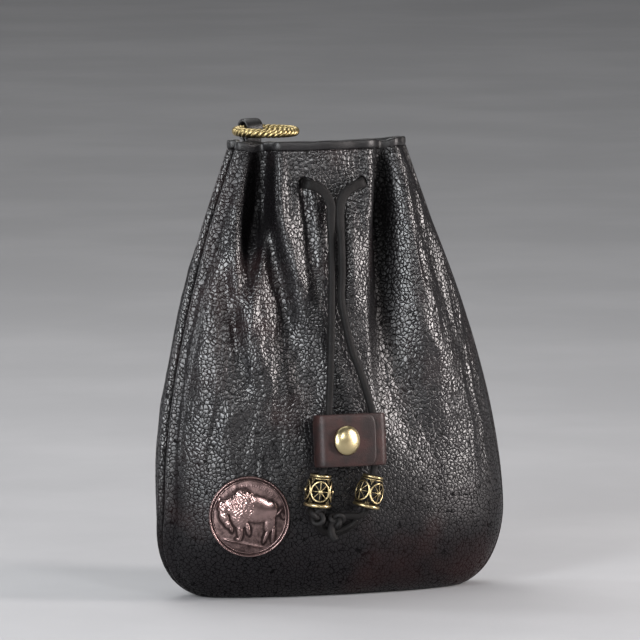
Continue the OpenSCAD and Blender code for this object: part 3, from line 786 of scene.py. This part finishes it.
def openwork_bead(name, at, lean, turn):
    """A barrel of four spoked wheels between two rims."""
    parts = [torus(2.45, 0.42, 4.05), torus(2.7, 0.24, 3.35), torus(3.3, 0.48, -3.85), torus(3.1, 0.24, -3.3)]
    parts.append(torus(2.05, 0.32, 4.15))
    parts.append(torus(2.6, 0.38, -4.15))
    wheel = 2.62
    for w in range(4):
        middle = w * np.pi / 2
        t = np.arange(40) * 2 * np.pi / 40
        ring = barrel(middle + wheel * np.cos(t) / 3.6, wheel * np.sin(t), 0.05)
        parts.append(wire(ring, 0.27, True))
        for spoke in range(8):
            b = spoke * np.pi / 4
            s = np.linspace(0.35, wheel, 7)
            parts.append(wire(barrel(middle + s * np.cos(b) / 3.6, s * np.sin(b), 0.0), 0.17, False, 6))
        hub, hub_faces = lathe([(0, -0.2), (0.62, -0.2), (0.62, 0.1), (0.42, 0.34), (0, 0.42)], 14)
        hub = placed(placed(hub, (3.58, 0, 0), [("Y", 90)]), (0, 0, 0), [("Z", math.degrees(middle))])
        parts.append((hub, hub_faces))
        for side in (-1, 1):
            for share in (-0.13, 0.0, 0.13):
                s = np.linspace(side * (1.9 + 6 * abs(share)), side * 3.4, 5)
                parts.append(wire(barrel(middle + np.pi / 4 + share + 0 * s, s, -0.05), 0.2, False, 6))
    pts, faces = joined(parts)
    radius = np.hypot(pts[:, 0], pts[:, 1])
    skin = 2.95 + 0.5 * np.cos(np.clip(pts[:, 2] / 3.6, -1, 1) * 1.57) - 0.07 * pts[:, 2]
    wear_and_sheen = np.clip((radius - skin) / 0.3, 0, 1)
    wear_and_sheen = np.where(np.abs(pts[:, 2]) > 3.6, np.clip((radius - skin + 0.2) / 0.4, 0, 1), wear_and_sheen)
    piece = make(name + "_openwork", placed(pts, at, [("Z", turn), ("Y", lean)]), faces, name, BEAD, [name])
    attribute(piece, "wear_and_sheen", wear_and_sheen)
    return piece


# ---------------------------------------------------------------- concho
def mound(x, y, cx, cy, rx, ry, tilt, height):
    """A soft oval mound."""
    t = math.radians(tilt)
    u = (x - cx) * math.cos(t) + (y - cy) * math.sin(t)
    v = -(x - cx) * math.sin(t) + (y - cy) * math.cos(t)
    return height * np.sqrt(np.clip(1 - (u / rx) ** 2 - (v / ry) ** 2, 0, 1))


BEAST = [  # middle x, y, half-length, half-height, tilt, height
    (1.4, 2.2, 5.4, 3.7, -10, 0.9), (-1.6, 3.9, 3.4, 3.7, 15, 1.05), (5.0, 1.5, 2.5, 3.0, -20, 0.85),
    (-2.8, 0.9, 2.6, 4.0, 8, 1.0), (-4.4, 2.8, 2.2, 3.0, 30, 1.0), (-7.0, 2.8, 1.7, 1.9, -10, 1.0),
    (-6.9, 0.4, 1.35, 2.3, 15, 0.85), (-5.9, -1.8, 0.95, 1.3, 25, 0.7), (-5.0, -3.0, 0.5, 1.2, 20, 0.5),
    (-2.7, -3.4, 0.8, 2.9, 5, 0.62), (-3.0, -6.0, 0.75, 0.5, -12, 0.5), (-0.5, -3.0, 0.6, 2.1, 12, 0.5),
    (5.4, -1.6, 1.4, 2.7, -12, 0.7), (6.3, -4.8, 0.5, 2.5, -5, 0.5), (4.5, -5.0, 0.5, 2.4, -22, 0.42),
    (8.1, 1.3, 0.3, 1.3, -42, 0.4), (9.0, 0.2, 0.4, 0.8, 20, 0.4), (-8.0, 4.6, 0.35, 0.9, 35, 0.75)]


def relief(x, y):
    """Height of the beast and the ground over the coin's field, and how close to the beast's foot it is."""
    power = 5
    out, halo = np.zeros_like(x), np.zeros_like(x)
    for cx, cy, rx, ry, tilt, high in BEAST:
        out += mound(x, y, cx, cy, rx, ry, tilt, high) ** power
        halo = np.maximum(halo, mound(x, y, cx, cy, rx + 0.7, ry + 0.7, tilt, 1))
    out = out ** (1 / power)
    mane = mound(x, y, -3.9, 4.2, 1.9, 2.3, 20, 1)
    curls = mound(x, y, -6.9, 2.6, 1.9, 2.2, 0, 1)
    fur = 0.2 * mane * np.sin(6.2 * (x + 0.35 * y) + 0.8 * np.sin(1.8 * y))
    fur += 0.14 * curls * np.sin(4.2 * x + np.sin(3 * y)) * np.cos(3.6 * y)
    fur += 0.05 * np.sin(5 * x + 2 * np.sin(2.1 * y)) * np.sin(4.4 * y) * (x < 1)
    slope = y + 5.9 + 0.206 * (x + 7.8)
    ground = 0.3 * np.exp(-((slope / 0.3) ** 2)) * (np.abs(x + 1) < 7.6)
    below = -0.12 * np.clip(-slope / 0.6, 0, 1)
    return out + fur * (out > 0.1) + ground + below, np.clip(halo * 1.4, 0, 1) * (out < 0.12)


def concho():
    """The coin: a domed field with the beast in relief, inside a raised double rim."""
    rings = np.concatenate([np.linspace(0, 9.6, 121)[1:], np.linspace(9.66, 10.9, 30)])
    turns = np.arange(360) * 2 * np.pi / 360
    r, t = np.meshgrid(rings, turns, indexing="ij")
    x, y = r * np.cos(t), r * np.sin(t)
    high, halo = relief(x, y)
    dome = 1.05 * (1 - (r / 9.8) ** 2)
    border = np.clip((9.3 - r) / 0.6, 0, 1)
    ticks = 0.1 * np.clip(np.cos(t * 84), 0, 1) * np.exp(-(((r - 8.5) / 0.42) ** 4)) * (np.abs(t - 1.45) < 1.05) * (high < 0.1)
    rim = 0.34 * np.exp(-(((r - 10.55) / 0.26) ** 2)) + 0.2 * np.exp(-(((r - 9.8) / 0.16) ** 2))
    h = 1.25 + dome * (r < 9.8) + 0.75 * high * border + ticks + rim
    h = np.where(r > 10.85, 1.1, h)
    cols, n = len(turns), len(rings)
    peak = 1.25 + 1.05 + 0.75 * float(relief(np.zeros(1), np.zeros(1))[0][0])
    pts = np.vstack([np.stack([x, y, h], -1).reshape(-1, 3), [(0, 0, peak)],
                     np.stack([10.9 * np.cos(turns), 10.9 * np.sin(turns), np.full(cols, 0.2)], 1), [(0, 0, 0.2)]])
    faces = [list(f)[::-1] for f in grid_faces(n, cols, closed=True)]
    centre, low, under = n * cols, n * cols + 1, n * cols + 1 + cols
    faces += [[centre, i, (i + 1) % cols] for i in range(cols)]
    last = (n - 1) * cols
    faces += [[last + i, low + i, low + (i + 1) % cols, last + (i + 1) % cols] for i in range(cols)]
    faces += [[under, low + (i + 1) % cols, low + i] for i in range(cols)]
    piece = make("concho_coin", placed(pts, COIN_AT, [("X", 90), ("Z", -COIN_TURN)]), faces, "bag", COIN,
                 ["concho_cap"])
    wear_and_sheen = np.where(r < 9.6, np.clip(0.46 + 0.36 * high - 0.2 * halo, 0, 1), np.clip(0.15 + rim * 2.6, 0, 1))
    attribute(piece, "wear_and_sheen", np.concatenate([wear_and_sheen.ravel(), [0.7], np.full(cols + 1, 0.3)]))
    return piece


# ---------------------------------------------------------------- hanger
def hanger():
    """The plaited ring in its folded tab."""
    t = np.arange(240) * 2 * np.pi / 240
    parts = []
    for strand in range(3):
        twist = 11 * t + strand * 2 * np.pi / 3
        r = 7.85 + 0.62 * np.cos(twist)
        line = np.stack([r * np.cos(t), r * np.sin(t), 0.62 * np.sin(twist)], 1)
        parts.append(wire(line, 0.66, True, 10))
    pts, faces = joined(parts)
    away = np.hypot(np.hypot(pts[:, 0], pts[:, 1]) - 7.85, pts[:, 2])
    pts = placed(placed(pts, (0, -7.85, 0), []), HINGE_AT, [("Z", HANGER_TURN)])
    ring = make("hanger_ring_plaited", pts, faces, "ring", RING, ["hanger_ring"])
    attribute(ring, "wear_and_sheen", np.clip((away - 0.75) / 0.5, 0, 1))

    a = np.radians(np.linspace(-60, 240, 40))
    loop = np.stack([2.5 * np.cos(a[::-1]), HINGE_AT.z + 2.5 * np.sin(a[::-1])], 1)
    inner = np.array([(-1.35, 120.4), (1.35, 103.5), (1.45, 102)])
    outer = np.array([(2.55, 102), (2.45, 103.5), (-0.15, 120.4)])
    line = curve_through(np.vstack([inner[::-1], loop[:: 3], outer[::-1]]), 5)
    pts, faces, edge = strap_piece(line, 2.5, 1.2, 1.05, 14)
    pts = pts[:, [2, 0, 1]]
    tab = make("hanger_tab_leather", placed(pts, (HINGE_AT.x, HINGE_AT.y, 0), [("Z", HANGER_TURN)]), faces, "bag",
               EDGE, ["hanger_tab"])
    attribute(tab, "wear_and_sheen", np.tile(edge, len(line)))


# ---------------------------------------------------------------- the object
front = panel(-1, "bag_front", ["front_panel"])
for hole in (LEFT_HOLE, RIGHT_HOLE):
    punch(front, LACE_ROUTE[hole][0], LACE_ROUTE[hole][2])
back = panel(1, "bag_back", ["back_panel"])
mouth_binding()
seam_strip()

left, left_line = lace("lace_left", LACE_ROUTE[LEFT_HOLE::-1])
right, right_line = lace("lace_right", LACE_ROUTE[RIGHT_HOLE:])
lace("lace_neck", LACE_ROUTE[LEFT_HOLE : RIGHT_HOLE + 1])
knot_left = knot("knot_left_tied", middle("knot_left"), 0.78, [("X", 80), ("Z", 15)], "knot_left")
knot_right = knot("knot_right_tied", middle("knot_right"), 0.62, [("X", 75), ("Z", -30)], "knot_right")


slider()
for bead_name, bead_turn in BEAD_TURNS.items():
    spin = JOINTS[bead_name + "_spin"]
    bead_lean = math.degrees(math.atan2(spin["axis"][0], spin["axis"][2]))
    openwork_bead(bead_name, Vector(spin["pos_m"]) / MM, bead_lean, bead_turn)
concho()
hanger()
for node, finish in (("slider_rivet_post", RIVET), ("concho_screw", RIVET), ("hanger_rivet", RIVET)):
    frame["nodes"][node].data.materials.clear()
    frame["nodes"][node].data.materials.append(finish)


# ---------------------------------------------------------------- stage, light and camera
def stage():
    """A plain pale floor that curves up into a round backdrop, wide enough to look at the bag from any side."""
    n = Nodes("studio_floor")
    mottle = n.noise(9, 5)
    colour = n.mix(n.ramp(mottle, 0.35, 0.7), (0.36, 0.36, 0.37), (0.4, 0.4, 0.41))
    floor_finish = n.done(colour, 0.7, n.bump(n.noise(900, 3), 0.00005))
    a = np.linspace(0, np.pi / 2, 24)
    run = np.concatenate([[0.4], 3.0 + 0.5 * np.sin(a), [3.5]])
    rise_up = np.concatenate([[0], 0.5 * (1 - np.cos(a)), [2.4]])
    around, rows = 96, len(run)
    turns = np.arange(around) * 2 * np.pi / around
    pts = [(r * math.cos(t), r * math.sin(t), z) for r, z in zip(run, rise_up) for t in turns] + [(0, 0, 0)]
    faces = [list(f) for f in grid_faces(rows, around, closed=True)]
    faces += [[rows * around, (i + 1) % around, i] for i in range(around)]
    mesh = bpy.data.meshes.new("floor")
    mesh.from_pydata(pts, [], faces)
    mesh.polygons.foreach_set("use_smooth", [True] * len(faces))
    floor = bpy.data.objects.new("floor", mesh)
    bpy.context.scene.collection.objects.link(floor)
    mesh.materials.append(floor_finish)


def softbox(name, at, size, power, colour=(1, 1, 1), aim=(-0.003, 0, 0.06)):
    """An area light that faces the bag."""
    light = bpy.data.lights.new(name, "AREA")
    light.shape, light.size, light.size_y = "RECTANGLE", size[0], size[1]
    light.energy, light.color = power, colour
    lamp = bpy.data.objects.new(name, light)
    lamp.location = at
    lamp.rotation_mode = "QUATERNION"
    lamp.rotation_quaternion = (Vector(aim) - Vector(at)).to_track_quat("-Z", "Y")
    bpy.context.scene.collection.objects.link(lamp)


AZIMUTH, ELEVATION, LENS = -20.0, 6.0, 420.0
VIEW_WIDTH = 0.173
LOOK_RIGHT, LOOK_UP = -0.0026, 0.012


def camera():
    """A long lens at the front left, a little above the bag."""
    a, e = math.radians(AZIMUTH), math.radians(ELEVATION)
    back = Vector((math.sin(a) * math.cos(e), -math.cos(a) * math.cos(e), math.sin(e)))
    across = Vector((math.cos(a), math.sin(a), 0))
    upward = back.cross(across)
    data = bpy.data.cameras.new("camera")
    data.lens, data.sensor_width = LENS, 36.0
    middle = Vector((0, 0, BAG_H / 2 * MM))
    target = middle + across * LOOK_RIGHT + upward * LOOK_UP
    cam = bpy.data.objects.new("camera", data)
    cam.location = target + back * (VIEW_WIDTH * LENS / 36.0)
    cam.rotation_mode = "QUATERNION"
    cam.rotation_quaternion = (-back).to_track_quat("-Z", "Y")
    bpy.context.scene.collection.objects.link(cam)
    bpy.context.scene.camera = cam


stage()
softbox("left_box", (-0.5, -0.44, 0.24), (0.16, 0.42), 4.2, (0.94, 0.97, 1.0))
softbox("low_box", (-0.46, -0.76, 0.13), (0.16, 0.24), 2.6)
softbox("edge_box", (-0.6, 0.36, 0.26), (0.14, 0.5), 2.6, (0.95, 0.97, 1.0))
softbox("right_box", (0.56, -0.34, 0.22), (0.13, 0.4), 6.2, (1.0, 0.93, 0.91))
softbox("front_box", (0.1, -0.88, 0.42), (0.14, 0.14), 2.3)
softbox("rim_box", (-0.1, 0.5, 0.75), (0.5, 0.2), 2.2)
softbox("floor_box", (0, 1.0, 2.2), (2.6, 2.6), 34.0, aim=(0, 1.0001, 0))
world = bpy.data.worlds.new("studio")
world.use_nodes = True
world.node_tree.nodes["Background"].inputs["Color"].default_value = (0.8, 0.82, 0.85, 1)
world.node_tree.nodes["Background"].inputs["Strength"].default_value = 0.03
bpy.context.scene.world = world
camera()
bpy.context.scene.view_settings.view_transform = "Standard"
